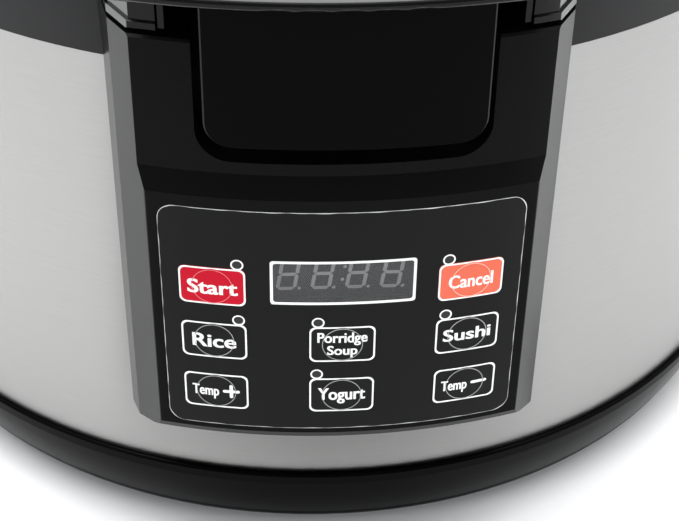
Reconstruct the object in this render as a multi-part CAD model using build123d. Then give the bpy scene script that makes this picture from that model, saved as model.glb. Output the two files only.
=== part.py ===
from build123d import *
import math
import os

# Electric rice and multi cooker, closed lid, standing on four rubber feet.
# Millimetres. Origin on the floor on the body's axis, +Z up, the control panel faces -Y.

# ---- driving dimensions ----
WALL_R = 200.0            # outside of the steel wall
STEEL = 0.8
WALL_LOW, WALL_TOP = 37.0, 212.8
PAN_LOW, PAN_FLOOR = 5.0, 8.0
FOOT_R, FOOT_PCR = 11.5, 174.0
COLLAR_TOP_R, COLLAR_TOP = 193.0, 237.0
PARTING_LOW, PARTING_HIGH = 236.0, 238.0

FACE_R = 226.6            # curved front of the control pod, coaxial with the wall
SHOULDER_R = 224.2        # the pod's face beside the latch
FACE_HALF_DEG, ROOT_HALF_DEG = 16.2, 22.2
KNEE_R, KNEE_HALF_DEG = 215.7, 19.45  # edge between the pod's bevel and its side
POD_LOW, CHIN_LOW = 81.0, 65.0
SHOULDER_LOW, SHOULDER_HIGH = 182.0, 190.0
POD_SKIN = 3.0

RECESS_HALF, RECESS_R = 46.4, 207.0
SCOOP_LOW, SCOOP_HIGH, SCOOP_CORNER = 194.3, 201.0, 11.0
OPEN_TOP = 260.0          # level above every opening cut from the pod

LATCH_R, LATCH_T = 231.6, 2.0
LATCH_HALF, LATCH_LOW, LATCH_TOP = 43.4, 204.0, 253.6
LATCH_AXIS_Y, LATCH_AXIS_Z, LATCH_PIN_R = -221.5, 243.0, 2.0

LIP_R, LIP_LOW, LIP_HIGH = 237.0, 253.2, 257.0
RIM_T, RIM_TOP = 0.8, 240.8   # raised rim along the foot of the lid's front
BAY_HALF = 56.5           # half width of the lid's bay for the latch
RAIL_IN, RAIL_OUT, RAIL_R = 53.9, 55.8, 223.0
VISOR_HOLLOW_HALF = 50.0
LID_BELT_R, LID_BELT, LID_SIDE = 195.5, 250.0, 42.0
LID_SKIN, LID_TOP = 3.0, 312.0

HINGE_Y, HINGE_Z, HINGE_PIN_R, KNUCKLE_R = 207.0, 240.0, 3.0, 7.5
HOUSING_R, HOUSING_LOW, HOUSING_HALF_DEG = 221.0, 150.0, 14.0

FILM_T, FILM_HALF_DEG = 0.25, 15.27
FILM_LOW, FILM_HIGH = 86.0, 177.7
KEY_W, KEY_H, KEY_CORNER, KEY_GAP = 22.3, 15.1, 2.2, 0.3
KEY_DOME_R, KEY_STEM_END = 7.2, 220.0
COLUMN = 43.2             # arc distance of the outer key columns from the centre
ROW_TOP, ROW_MID, ROW_LOW = 146.9, 123.9, 101.4
DISPLAY_W, DISPLAY_H, DISPLAY_Z = 47.5, 17.2, 149.8
LAMP_R = 1.6

POT_R, POT_T, POT_LOW, POT_TOP, FLANGE_R = 150.0, 2.2, 72.0, 230.0, 164.0
LINER_R, LINER_T, LINER_LOW, LINER_TOP = 158.0, 0.8, 50.0, 226.0
HANDLE_R, HANDLE_HALF_DEG, HANDLE_LOW, HANDLE_TOP = 228.0, 15.0, 186.0, 211.0
CUP_BACK = 237.0
INLET_Z = 72.0
INLET_SCREW_X = (-20.0, 20.0)
KEEPER_SCREW_X, KEEPER_SCREW_Z = (-8.0, 8.0), 227.0
HANDLE_SCREW_TURNS, HANDLE_SCREW_Z = (-10, 10, 170, 190), 197.0
FRONT = -90.0             # polar angle of the control panel

KEYS = {
    "key_start": (-COLUMN, ROW_TOP),
    "key_rice": (-COLUMN, ROW_MID),
    "key_temp_up": (-COLUMN, ROW_LOW),
    "key_porridge_soup": (0.0, ROW_MID),
    "key_yogurt": (0.0, ROW_LOW),
    "key_cancel": (COLUMN - 0.4, ROW_TOP),
    "key_sushi": (COLUMN - 0.4, ROW_MID),
    "key_temp_down": (COLUMN, ROW_LOW),
}
# the lamp stands over one upper corner of its key
LAMPS = {
    "key_start": 8.5, "key_rice": 8.5,
    "key_porridge_soup": -8.2, "key_yogurt": -8.6,
    "key_cancel": -8.0, "key_sushi": -8.0,
}
LAMP_RISE = 9.4


# ---- helpers ----
def polar(radius, degrees, z=0.0):
    angle = math.radians(degrees)
    return (radius * math.cos(angle), radius * math.sin(angle), z)


def ring(points):
    """Solid of revolution about Z from (radius, height) corners."""
    face = make_face(Polyline(*[(r, 0, z) for r, z in points], close=True))
    return revolve(face, Axis.Z, 360)


def tube(outer, inner, low, high):
    return ring([(inner, low), (outer, low), (outer, high), (inner, high)])


def disc(radius, low, high, x=0.0, y=0.0):
    return Pos(x, y, (low + high) / 2) * Cylinder(radius, high - low)


def block(x0, x1, y0, y1, z0, z1):
    return Pos((x0 + x1) / 2, (y0 + y1) / 2, (z0 + z1) / 2) * Box(x1 - x0, y1 - y0, z1 - z0)


def rod_x(radius, x0, x1, y, z):
    return Pos((x0 + x1) / 2, y, z) * Rot(0, 90, 0) * Cylinder(radius, x1 - x0)


def rod_y(radius, y0, y1, x, z):
    return Pos(x, (y0 + y1) / 2, z) * Rot(90, 0, 0) * Cylinder(radius, y1 - y0)


def plan(points, low, high):
    """Vertical prism on a closed outline in the floor plane."""
    face = make_face(Polyline(*[(x, y, low) for x, y in points], close=True))
    return extrude(face, high - low, dir=(0, 0, 1))


def radial(arc, z, radius=FACE_R):
    """Location on the panel's cylinder: local Z points outwards, local X along the arc."""
    turn = math.degrees(arc / radius)
    x, y, _ = polar(radius, FRONT + turn)
    return Pos(x, y, z) * Rot(0, 0, turn) * Rot(90, 0, 0)


def patch(arc, z, width, height, corner, inner, outer):
    """Rounded rectangular plate that follows the panel's cylinder from inner to outer radius."""
    outline = RectangleRounded(width, height, corner)
    depth = 30.0
    prism = radial(arc, z) * (Pos(0, 0, -depth / 2) * extrude(outline, depth))
    return prism & tube(outer, inner, z - height, z + height)


def coil(radius, wire, pitch, height):
    path = Helix(pitch, height, radius)
    section = Plane(path @ 0, z_dir=path % 0) * Circle(wire / 2)
    return sweep(section, path)


def around(shape, count, start=0.0):
    return [Rot(0, 0, start + 360.0 * i / count) * shape for i in range(count)]


def save(name, shape):
    if isinstance(shape, list):
        solids = [solid for item in shape for solid in item.solids()]
        shape = solids[0] if len(solids) == 1 else Compound(children=solids)
    shape.label = name
    export_step(shape, f"parts/{name}.step")


# ---- base and walls ----
def base_pan():
    outer = [
        Line((0, 0, PAN_LOW), (187, 0, PAN_LOW)),
        ThreePointArc((187, 0, PAN_LOW), (191.8, 0, 6.9), (194.2, 0, 11)),
        ThreePointArc((194.2, 0, 11), (199.2, 0, 22), (202.3, 0, 34)),
        Line((202.3, 0, 34), (202.5, 0, 37.6)),
        ThreePointArc((202.5, 0, 37.6), (201.9, 0, 38.6), (200.9, 0, 38.8)),
        Line((200.9, 0, 38.8), (200.2, 0, 38.3)),
        Line((200.2, 0, 38.3), (200.2, 0, WALL_LOW)),
        Line((200.2, 0, WALL_LOW), (196.5, 0, WALL_LOW)),
        Line((196.5, 0, WALL_LOW), (189.5, 0, 12)),
        Line((189.5, 0, 12), (184, 0, PAN_FLOOR)),
        Line((184, 0, PAN_FLOOR), (0, 0, PAN_FLOOR)),
        Line((0, 0, PAN_FLOOR), (0, 0, PAN_LOW)),
    ]
    pan = revolve(make_face(outer), Axis.Z, 360)
    for x, y in board_corners():
        pan += disc(4, PAN_FLOOR - 0.5, BOARD_Z, x, y)
    for hole in around(Pos(LEG_PCR, 0, 0) * disc(2.1, PAN_LOW - 1, PAN_FLOOR + 1), 4, 45):
        pan -= hole
    for hole in around(Pos(LEG_PCR, 0, 0) * disc(4.4, PAN_LOW - 1, PAN_LOW + 1.7), 4, 45):
        pan -= hole
    for slot in around(block(78, 112, -1.5, 1.5, PAN_LOW - 1, PAN_FLOOR + 1), 24, 7.5):
        pan -= slot
    return pan


LEG_PCR = 140.0
BOARD_Z, BOARD_T = 14.0, 1.6
BOARD_X, BOARD_Y0, BOARD_Y1 = 60.0, -162.0, -92.0


def board_corners():
    inset = 5
    return [(x, y) for x in (-BOARD_X + inset, BOARD_X - inset) for y in (BOARD_Y0 + inset, BOARD_Y1 - inset)]


def feet():
    foot = disc(FOOT_R, 0, PAN_LOW)
    foot = fillet(foot.edges().group_by(Axis.Z)[0], 1.5)
    return around(Pos(FOOT_PCR, 0, 0) * foot, 4)


def outer_wall():
    wall = tube(WALL_R, WALL_R - STEEL, WALL_LOW, WALL_TOP)
    wall -= block(-22, 22, -210, -190, 84, 104)
    wall -= block(-14.2, 14.2, 190, 210, INLET_Z - 10.7, INLET_Z + 10.7)
    for x in INLET_SCREW_X:
        wall -= rod_y(1.5, 190, 210, x, INLET_Z)
    for turn in HANDLE_SCREW_TURNS:
        wall -= Rot(0, 0, turn) * (Pos(WALL_R, 0, HANDLE_SCREW_Z) * Rot(0, 90, 0) * Cylinder(2.1, 12))
    return wall


def top_collar():
    collar = ring([
        (WALL_R, WALL_TOP), (194.2, 233.5), (COLLAR_TOP_R, COLLAR_TOP - 1.2), (191.5, COLLAR_TOP),
        (169.5, COLLAR_TOP), (168.2, COLLAR_TOP - 0.8), (166, POT_TOP), (153.5, POT_TOP),
        (153.5, LINER_TOP), (168, LINER_TOP), (171, 233), (189.5, 233), (196, WALL_TOP),
        (196, 205), (199.1, 205), (199.1, WALL_TOP),
    ])
    return collar


def wall_envelope():
    """Everything inside the wall and the collar, a hair larger, to shape what is fastened to them."""
    gap = 0.1
    return ring([(0, 0), (WALL_R + gap, 0), (WALL_R + gap, WALL_TOP), (194.2 + gap, 233.5),
                 (COLLAR_TOP_R + gap, COLLAR_TOP - 1.2), (COLLAR_TOP_R + gap, 260), (0, 260)])


# ---- control pod ----
# (radius, degrees off the front) of the corners of one side, from the face back into the wall
POD_CORNERS = [(FACE_R, FACE_HALF_DEG), (KNEE_R, KNEE_HALF_DEG), (WALL_R, ROOT_HALF_DEG), (184.9, 25.4)]
CHEEK_CORNERS = [(226.0, 16.06), (215.16, 19.29), (199.55, 22.0), (184.4, 25.2)]
VISOR_CORNERS = [(LIP_R, 16.6), (173.5, 34.15)]


def faceted_plan(corners, low, high):
    """Vertical prism: open at the front, cut off at both sides by flat facets through the corners."""
    right = [polar(radius, FRONT + degrees)[:2] for radius, degrees in corners]
    left = [(-x, y) for x, y in reversed(right)]
    front_x, back_x = right[0][0] * 0.8, right[-1][0] * 0.8
    return plan(left + [(-front_x, -260), (front_x, -260)] + right + [(back_x, -140), (-back_x, -140)], low, high)


def latch_recess():
    """Space behind the latch: deep at the top, running out to the pod's face as a finger scoop."""
    low_z = SCOOP_LOW - 3
    outline = [
        Line((RECESS_R, 0, OPEN_TOP), (RECESS_R, 0, SCOOP_HIGH)),
        ThreePointArc((RECESS_R, 0, SCOOP_HIGH), (214, 0, 196.2), (FACE_R, 0, SCOOP_LOW)),
        Line((FACE_R, 0, SCOOP_LOW), (250, 0, low_z)),
        Line((250, 0, low_z), (250, 0, OPEN_TOP)),
        Line((250, 0, OPEN_TOP), (RECESS_R, 0, OPEN_TOP)),
    ]
    cutter = revolve(make_face(outline), Axis.Z, 360)
    mouth = RectangleRounded(2 * RECESS_HALF, OPEN_TOP - SCOOP_LOW, SCOOP_CORNER)
    window = extrude(Plane.XZ.offset(190) * Pos(0, (OPEN_TOP + SCOOP_LOW) / 2) * mouth, 60)
    return cutter & window


def control_pod():
    body = ring([
        (180, CHIN_LOW), (WALL_R, CHIN_LOW), (FACE_R - 3.5, POD_LOW - 2.2), (FACE_R - 1.0, POD_LOW),
        (FACE_R, POD_LOW + 2.6),
        (FACE_R, SHOULDER_LOW), (SHOULDER_R, SHOULDER_HIGH), (SHOULDER_R, PARTING_LOW - 0.8),
        (SHOULDER_R - 0.8, PARTING_LOW), (180, PARTING_LOW),
    ])
    pod = body & faceted_plan(POD_CORNERS, CHIN_LOW - 1, PARTING_LOW + 1)
    front_edges = [e for e in pod.edges().filter_by(Axis.Z) if e.center().Y < -214 and e.length > 60]
    pod = fillet(front_edges, 1.0)
    pod -= wall_envelope()
    pod -= latch_recess()
    for x in KEEPER_SCREW_X:
        pod -= rod_y(1.35, -212, -200, x, KEEPER_SCREW_Z)
    cavity = tube(FACE_R - POD_SKIN, WALL_R - 1, POD_LOW + 2.5, SHOULDER_LOW - 0.5)
    half = math.radians(FACE_HALF_DEG - 1.4)
    reach = 260
    wedge = plan([(0, 0), (-reach * math.sin(half), -reach * math.cos(half)),
                  (reach * math.sin(half), -reach * math.cos(half))], POD_LOW, SHOULDER_LOW)
    pod -= cavity & wedge
    for arc, z in KEYS.values():
        pod -= patch(arc, z, KEY_W + 2 * KEY_GAP, KEY_H + 2 * KEY_GAP, KEY_CORNER + KEY_GAP, 215, 232)
    pod -= patch(0, DISPLAY_Z, DISPLAY_W + 0.2, DISPLAY_H + 0.2, 0.6, 215, 232)
    for name, shift in LAMPS.items():
        arc, z = KEYS[name]
        pod -= radial(arc + shift, z + LAMP_RISE) * Cylinder(LAMP_R + 0.1, 20)
    return pod


def overlay_film():
    outer = FACE_R + FILM_T
    half = FACE_R * math.sin(math.radians(FILM_HALF_DEG))
    mid, height = (FILM_LOW + FILM_HIGH) / 2, FILM_HIGH - FILM_LOW
    film = patch(0, mid, 2 * half, height, 5.5, FACE_R, outer)
    for arc, z in KEYS.values():
        film -= patch(arc, z, KEY_W + 2 * KEY_GAP, KEY_H + 2 * KEY_GAP, KEY_CORNER + KEY_GAP, 220, 230)
    film -= patch(0, DISPLAY_Z, DISPLAY_W, DISPLAY_H, 0.5, 220, 230)
    for name, shift in LAMPS.items():
        arc, z = KEYS[name]
        film -= radial(arc + shift, z + LAMP_RISE) * Cylinder(LAMP_R + 0.1, 20)
    return film


def key(arc, z):
    pad = patch(arc, z, KEY_W, KEY_H, KEY_CORNER, FACE_R - 1.2, FACE_R + FILM_T + 0.05)
    dome = (radial(arc, z) * Cylinder(KEY_DOME_R, 20)) & tube(FACE_R + FILM_T + 0.35, FACE_R - 1, z - 20, z + 20)
    stem_length = FACE_R - 0.5 - KEY_STEM_END
    stem = radial(arc, z) * (Pos(0, 0, -0.5 - stem_length / 2) * Cylinder(2.5, stem_length))
    return pad + dome + stem


def indicator_lenses():
    lenses = []
    for name, shift in LAMPS.items():
        arc, z = KEYS[name]
        rod = radial(arc + shift, z + LAMP_RISE) * Cylinder(LAMP_R, 20)
        lenses.append(rod & tube(FACE_R + 0.15, 221.5, z, z + 20))
    return lenses


CONTROL_BOARD_Y = -210.6


def control_board():
    board = block(-50, 50, CONTROL_BOARD_Y, CONTROL_BOARD_Y + BOARD_T, 88, 178)
    for x in (-46, 46):
        for z in (92, 174):
            board -= rod_y(1.6, -215, -205, x, z)
    return board


def tact_switches():
    switches = []
    for arc, z in KEYS.values():
        turn = arc / FACE_R
        x = KEY_STEM_END * math.sin(turn)
        reach = -(KEY_STEM_END * math.cos(turn) - 1.4)
        body = block(x - 3, x + 3, CONTROL_BOARD_Y - 3.5, CONTROL_BOARD_Y, z - 3, z + 3)
        switches.append(body + rod_y(1.75, reach, CONTROL_BOARD_Y - 3, x, z))
    return switches


def led_display():
    return block(-25.1, 25.1, -221.2, CONTROL_BOARD_Y, DISPLAY_Z - 9.5, DISPLAY_Z + 9.5)


def display_window():
    return patch(0, DISPLAY_Z, DISPLAY_W - 0.1, DISPLAY_H - 0.1, 0.5, FACE_R - 2.2, FACE_R - 0.05)


def ribbon_cable():
    run = block(-12, 12, CONTROL_BOARD_Y + BOARD_T, -181, 91, 92)
    run += block(-12, 12, -182, -181, BOARD_Z + BOARD_T + 2, 92)
    run += block(-12, 12, -182, BOARD_Y0 + 12, BOARD_Z + BOARD_T + 2, BOARD_Z + BOARD_T + 3)
    run += block(-13, 13, BOARD_Y0 + 8, BOARD_Y0 + 14, BOARD_Z + BOARD_T, BOARD_Z + BOARD_T + 5)
    return run


# ---- cooking chamber ----
def inner_pot():
    bend, lift = 26.0, math.sqrt(0.5)

    def corner(radius, low, r):
        centre = (radius - r, low + r)
        return ThreePointArc((radius - r, 0, low), (centre[0] + r * lift, 0, centre[1] - r * lift), (radius, 0, low + r))

    inner_r, floor_z = POT_R - POT_T, POT_LOW + POT_T
    outline = [
        Line((0, 0, POT_LOW), (POT_R - bend, 0, POT_LOW)),
        corner(POT_R, POT_LOW, bend),
        Line((POT_R, 0, POT_LOW + bend), (POT_R, 0, POT_TOP)),
        Line((POT_R, 0, POT_TOP), (FLANGE_R, 0, POT_TOP)),
        Line((FLANGE_R, 0, POT_TOP), (FLANGE_R, 0, POT_TOP + 2)),
        Line((FLANGE_R, 0, POT_TOP + 2), (inner_r, 0, POT_TOP + 2)),
        Line((inner_r, 0, POT_TOP + 2), (inner_r, 0, floor_z + bend - POT_T)),
        corner(inner_r, floor_z, bend - POT_T),
        Line((inner_r - bend + POT_T, 0, floor_z), (0, 0, floor_z)),
        Line((0, 0, floor_z), (0, 0, POT_LOW)),
    ]
    return revolve(make_face(outline), Axis.Z, 360)


def liner():
    cup = disc(LINER_R, LINER_LOW, LINER_TOP) - disc(LINER_R - LINER_T, LINER_LOW + LINER_T, LINER_TOP + 1)
    return cup - disc(30, LINER_LOW - 1, LINER_LOW + 2)


def liner_legs():
    leg = disc(7, PAN_FLOOR, LINER_LOW) - disc(1.9, PAN_FLOOR - 1, PAN_FLOOR + 16)
    return around(Pos(LEG_PCR, 0, 0) * leg, 4, 45)


def base_screws():
    head = disc(4.0, PAN_LOW + 0.3, PAN_LOW + 1.7) - block(-2.8, 2.8, -0.5, 0.5, PAN_LOW, PAN_LOW + 1)
    screw = head + disc(1.85, PAN_LOW + 1.2, PAN_FLOOR + 12)
    return around(Pos(LEG_PCR, 0, 0) * screw, 4, 45)


HEATER_LOW = 57.0


def heater_plate():
    plate = tube(118, 24, HEATER_LOW + 6, POT_LOW)
    element = ring([(84, HEATER_LOW), (100, HEATER_LOW), (100, HEATER_LOW + 7), (84, HEATER_LOW + 7)])
    plate += element
    for y in (-8, 8):
        plate += disc(2.5, HEATER_LOW - 5, HEATER_LOW + 1, 92, y)
    return plate


def heater_posts():
    post = disc(5, LINER_LOW + LINER_T, HEATER_LOW + 6)
    return around(Pos(110, 0, 0) * post, 3, 30)


def sensor_bracket():
    return tube(38, 5.1, LINER_LOW + LINER_T, LINER_LOW + LINER_T + 1.5)


SENSOR_TOP, SENSOR_CAP_LOW = POT_LOW - 0.1, POT_LOW - 5.5


def sensor_cup():
    cap = disc(19, SENSOR_CAP_LOW, SENSOR_TOP)
    cap = fillet(cap.edges().group_by(Axis.Z)[-1], 1.5)
    return cap + disc(5, 38, SENSOR_CAP_LOW + 1) + disc(8, 38, 41)


def sensor_spring():
    low = LINER_LOW + LINER_T + 1.5
    height = SENSOR_CAP_LOW - low - 1.4
    return Pos(0, 0, low + 0.7) * coil(8.5, 1.2, height / 3.5, height)


def band_heater():
    return tube(LINER_R + 2.4, LINER_R, 118, 146) - block(LINER_R - 9, LINER_R + 9, -4, 4, 110, 150)


def thermal_fuse():
    body = Pos(0, LINER_R + 6.5, 132) * Rot(0, 90, 0) * Cylinder(3, 20)
    clip = block(-4, 4, LINER_R + 2.4, LINER_R + 5, 128, 136)
    return body + clip


def power_board():
    board = block(-BOARD_X, BOARD_X, BOARD_Y0, BOARD_Y1, BOARD_Z, BOARD_Z + BOARD_T)
    return board


def transformer():
    low = BOARD_Z + BOARD_T
    core = block(-52, -14, -135, -103, low, low + 28)
    winding = block(-46, -20, -141, -97, low + 5, low + 23)
    return core + winding


def relays():
    low = BOARD_Z + BOARD_T
    return [block(x, x + 16, -128, -106, low, low + 16) for x in (0, 22)]


def wiring():
    """Three insulated leads from the inlet down to the pan and forward under the chamber."""
    leads = []
    for x in (-7, 0, 7):
        line = FilletPolyline((x, 184, INLET_Z), (x, 174, INLET_Z), (x, 174, 24), (x, 120, 24), (x + 35, 60, 24),
                              (x + 35, -88, 24), radius=8)
        leads.append(sweep(Plane(line @ 0, z_dir=line % 0) * Circle(1.6), line))
    return leads


# ---- rear: inlet, hinge, condensate cup ----
def inlet_bezel():
    bezel = block(-32, 32, 150, 206, INLET_Z - 23, INLET_Z + 23)
    bezel = fillet(bezel.edges().filter_by(Axis.Y), 6)
    bezel = fillet(bezel.faces().sort_by(Axis.Y)[-1].edges(), 1.5)
    bezel -= Cylinder(WALL_R + 0.1, 400)
    bezel -= block(-14.2, 14.2, 150, 210, INLET_Z - 10.7, INLET_Z + 10.7)
    for x in INLET_SCREW_X:
        bezel -= rod_y(1.4, 196, 208, x, INLET_Z)
    return bezel


def power_inlet():
    flange = block(-25, 25, 206, 208, INLET_Z - 14, INLET_Z + 14)
    flange = fillet(flange.edges().filter_by(Axis.Y), 4)
    body = flange + block(-14, 14, 184, 207, INLET_Z - 10.5, INLET_Z + 10.5)
    body -= block(-12.2, 12.2, 192, 209, INLET_Z - 8, INLET_Z + 8)
    for x, z in ((-7, -1), (7, -1), (0, 2)):
        body += block(x - 1, x + 1, 191, 205, INLET_Z + z - 2, INLET_Z + z + 2)
    for x in INLET_SCREW_X:
        body -= rod_y(1.7, 200, 210, x, INLET_Z)
    return body


def inlet_screws():
    screws = []
    for x in INLET_SCREW_X:
        head = rod_y(3.0, 208, 209.6, x, INLET_Z)
        head = fillet(head.edges().sort_by(Axis.Y)[-1], 0.8)
        head -= block(x - 2, x + 2, 209, 210, INLET_Z - 0.4, INLET_Z + 0.4)
        screws.append(head + rod_y(1.35, 198, 208.5, x, INLET_Z))
    return screws


def hinge_housing():
    shell = ring([(180, HOUSING_LOW), (HOUSING_R - 6, HOUSING_LOW), (HOUSING_R, HOUSING_LOW + 6),
                  (HOUSING_R, 226), (HOUSING_R - 5, 231), (180, 231)])
    half = math.radians(HOUSING_HALF_DEG)
    reach = 260
    wedge = plan([(0, 0), (reach * math.sin(half), reach * math.cos(half)),
                  (-reach * math.sin(half), reach * math.cos(half))], HOUSING_LOW - 1, 232)
    housing = shell & wedge
    for side in (-1, 1):
        x0, x1 = sorted((side * 24, side * 42))
        housing += rod_x(KNUCKLE_R, x0, x1, HINGE_Y, HINGE_Z)
        housing += block(x0, x1, HINGE_Y - 5, HINGE_Y + KNUCKLE_R, 228, HINGE_Z)
    housing -= wall_envelope()
    housing -= rod_x(HINGE_PIN_R + 0.02, -60, 60, HINGE_Y, HINGE_Z)
    return housing


def hinge_pin():
    pin = rod_x(HINGE_PIN_R, -44, 44, HINGE_Y, HINGE_Z)
    return chamfer(pin.edges(), 0.5)


def hinge_springs():
    springs = []
    for x in (-22.5, 14.0):
        springs.append(Pos(x, HINGE_Y, HINGE_Z) * Rot(0, 90, 0) * coil(4.6, 1.2, 1.7, 8.5))
    return springs


def condensate_cup():
    front = HOUSING_R + 0.4
    cup = block(-32, 32, front, CUP_BACK, 158, 206)
    cup = fillet(cup.edges().filter_by(Axis.Z).group_by(Axis.Y)[-1], 5)
    cup = fillet(cup.faces().sort_by(Axis.Z)[0].edges(), 1.5)
    cavity = block(-30, 30, front + 2, CUP_BACK - 2, 160, 210)
    return cup - cavity


# ---- carrying handles ----
def handle(side):
    """Moulded grip with a finger pocket open below; side is +1 for +X, -1 for -X."""
    grip = ring([(190, HANDLE_LOW + 3), (HANDLE_R - 4, HANDLE_LOW), (HANDLE_R - 1, HANDLE_LOW + 1),
                 (HANDLE_R, HANDLE_LOW + 4), (HANDLE_R, HANDLE_TOP - 7), (HANDLE_R - 2, HANDLE_TOP - 2.5),
                 (HANDLE_R - 6, HANDLE_TOP), (190, HANDLE_TOP)])
    half = math.radians(HANDLE_HALF_DEG)
    reach = 260
    wedge = plan([(0, 0), (reach * math.cos(half), -reach * math.sin(half)),
                  (reach * math.cos(half), reach * math.sin(half))], HANDLE_LOW - 1, HANDLE_TOP + 1)
    grip = grip & wedge
    outer_edges = [e for e in grip.edges().filter_by(Axis.Z) if e.center().X > 215]
    grip = fillet(outer_edges, 6)
    grip -= Cylinder(WALL_R + 0.1, 600)
    pocket_half = math.radians(HANDLE_HALF_DEG - 2.2)
    pocket = tube(HANDLE_R - 5, WALL_R + 6, HANDLE_LOW - 5, HANDLE_TOP - 5)
    pocket_wedge = plan([(0, 0), (reach * math.cos(pocket_half), -reach * math.sin(pocket_half)),
                         (reach * math.cos(pocket_half), reach * math.sin(pocket_half))], 150, 230)
    grip -= pocket & pocket_wedge
    for turn in HANDLE_SCREW_TURNS[:2]:
        grip -= Rot(0, 0, turn) * (Pos(WALL_R, 0, HANDLE_SCREW_Z) * Rot(0, 90, 0) * Cylinder(2.0, 7))
    return grip if side > 0 else Rot(0, 0, 180) * grip


def handle_screws():
    """Screws driven outwards through the steel wall into the handles."""
    shank = Pos(WALL_R, 0, HANDLE_SCREW_Z) * Rot(0, 90, 0) * Cylinder(1.9, 5.6)
    head = (Pos(WALL_R - STEEL - 1, 0, HANDLE_SCREW_Z) * Rot(0, 90, 0) * Cylinder(3.6, 2.4))
    screw = shank + (head & Cylinder(WALL_R - STEEL - 0.05, 600))
    return [Rot(0, 0, turn) * screw for turn in HANDLE_SCREW_TURNS]


# ---- lid ----
def lid_dome(skin):
    """The lid's outline shrunk by skin, filled: a shallow crown arc running into a side arc."""
    side_r, side_z = LID_BELT_R - LID_SIDE, LID_BELT
    rise = LID_TOP - LID_BELT
    crown = (side_r ** 2 + rise ** 2 - LID_SIDE ** 2) / (2 * (rise - LID_SIDE))
    meet = math.atan2(crown - rise, side_r)

    def on_side(angle):
        arc = LID_SIDE - skin
        return (side_r + arc * math.cos(angle), 0, side_z + arc * math.sin(angle))

    top = (0, 0, LID_TOP - skin)
    tilt = (math.pi / 2 - meet) / 2
    crown_mid = ((crown - skin) * math.sin(tilt), 0, LID_TOP - crown + (crown - skin) * math.cos(tilt))
    low_r = COLLAR_TOP_R - skin
    low = PARTING_HIGH if skin == 0 else PARTING_HIGH - 1
    outline = [
        Line((0, 0, low), (low_r, 0, low)),
        Line((low_r, 0, low), on_side(0)),
        ThreePointArc(on_side(0), on_side(meet / 2), on_side(meet)),
        ThreePointArc(on_side(meet), crown_mid, top),
        Line(top, (0, 0, low)),
    ]
    return revolve(make_face(outline), Axis.Z, 360)


VENT_Y, VENT_R = 70.0, 24.0


def lid_visor():
    """Ramp from the crown down to the lip, hollow behind it so that the latch's top can swing."""
    foot_r = 158.0
    outline = [
        Line((foot_r, 0, LIP_LOW), (LIP_R - 1.2, 0, LIP_LOW)),
        ThreePointArc((LIP_R - 1.2, 0, LIP_LOW), (LIP_R, 0, LIP_LOW + 1.9), (LIP_R - 1.6, 0, LIP_HIGH)),
        ThreePointArc((LIP_R - 1.6, 0, LIP_HIGH), (202, 0, 275.5), (foot_r, 0, 291.5)),
        Line((foot_r, 0, 291.5), (foot_r, 0, LIP_LOW)),
    ]
    visor = revolve(make_face(outline), Axis.Z, 360) & faceted_plan(VISOR_CORNERS, 240, 300)
    hollow = ring([(RECESS_R, LIP_LOW - 1), (233.8, LIP_LOW - 1), (233.8, 255.5), (226, 259.5), (215, 263),
                   (RECESS_R, 263)])
    return visor - (hollow & block(-VISOR_HOLLOW_HALF, VISOR_HOLLOW_HALF, -245, -150, 240, 270))


def lid_front():
    """Cheeks that carry the pod's face and bevels up to the visor, each side of the latch bay."""
    cheek_r = SHOULDER_R - RIM_T
    cheek = ring([(180, PARTING_HIGH), (cheek_r, PARTING_HIGH), (cheek_r, LIP_LOW + 0.5), (180, LIP_LOW + 0.5)])
    front = cheek & faceted_plan(CHEEK_CORNERS, PARTING_HIGH - 1, LIP_LOW + 2)
    rim = ring([(205, PARTING_HIGH), (SHOULDER_R - 0.4, PARTING_HIGH), (SHOULDER_R, PARTING_HIGH + 0.4),
                (SHOULDER_R, RIM_TOP - 0.4), (SHOULDER_R - 0.4, RIM_TOP), (205, RIM_TOP)])
    front += rim & faceted_plan(POD_CORNERS, PARTING_HIGH - 1, RIM_TOP + 1)
    bay = tube(240, RECESS_R, PARTING_HIGH - 1, LIP_LOW) & block(-BAY_HALF, BAY_HALF, -245, -150, 230, 260)
    front -= bay
    for side in (-1, 1):
        x0, x1 = sorted((side * RAIL_IN, side * RAIL_OUT))
        front += block(x0, x1, -230, -195, PARTING_HIGH + 0.6, LIP_LOW + 0.5) & Cylinder(RAIL_R, 600)
        gx, gy, _ = polar(KNEE_R - 1.5, FRONT + side * KNEE_HALF_DEG)
        front -= Pos(gx, gy, RIM_TOP + 7) * Rot(0, 0, side * KNEE_HALF_DEG) * Box(0.8, 8, 14)
    return front


def lid_shell():
    shell = lid_dome(0) + lid_visor() + lid_front()
    for side in (-1, 1):
        x0, x1 = sorted((side * 28, side * 34))
        shell += rod_x(4, x0, x1, LATCH_AXIS_Y, LATCH_AXIS_Z)
        shell += block(x0, x1, LATCH_AXIS_Y, -200, LATCH_AXIS_Z - 3, LATCH_AXIS_Z + 4)
    shell += rod_x(KNUCKLE_R, -12, 12, HINGE_Y, HINGE_Z)
    shell += block(-12, 12, 188, HINGE_Y, HINGE_Z, HINGE_Z + KNUCKLE_R)
    shell -= lid_dome(LID_SKIN)
    shell -= rod_x(LATCH_PIN_R + 0.03, -42, 42, LATCH_AXIS_Y, LATCH_AXIS_Z)
    shell -= rod_x(HINGE_PIN_R + 0.06, -30, 30, HINGE_Y, HINGE_Z)
    shell -= disc(VENT_R + 0.1, 250, 320, 0, VENT_Y)
    return shell


def lid_inner_cover():
    cover = ring([(0, 241), (187.5, 241), (189.2, 243), (189.2, 245), (0, 245)])
    cover -= disc(12.1, 239, 247, 0, VENT_Y)
    for hole in around(Pos(176, 0, 0) * disc(1.7, 240, 247), 6):
        cover -= hole
    return cover


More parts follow.
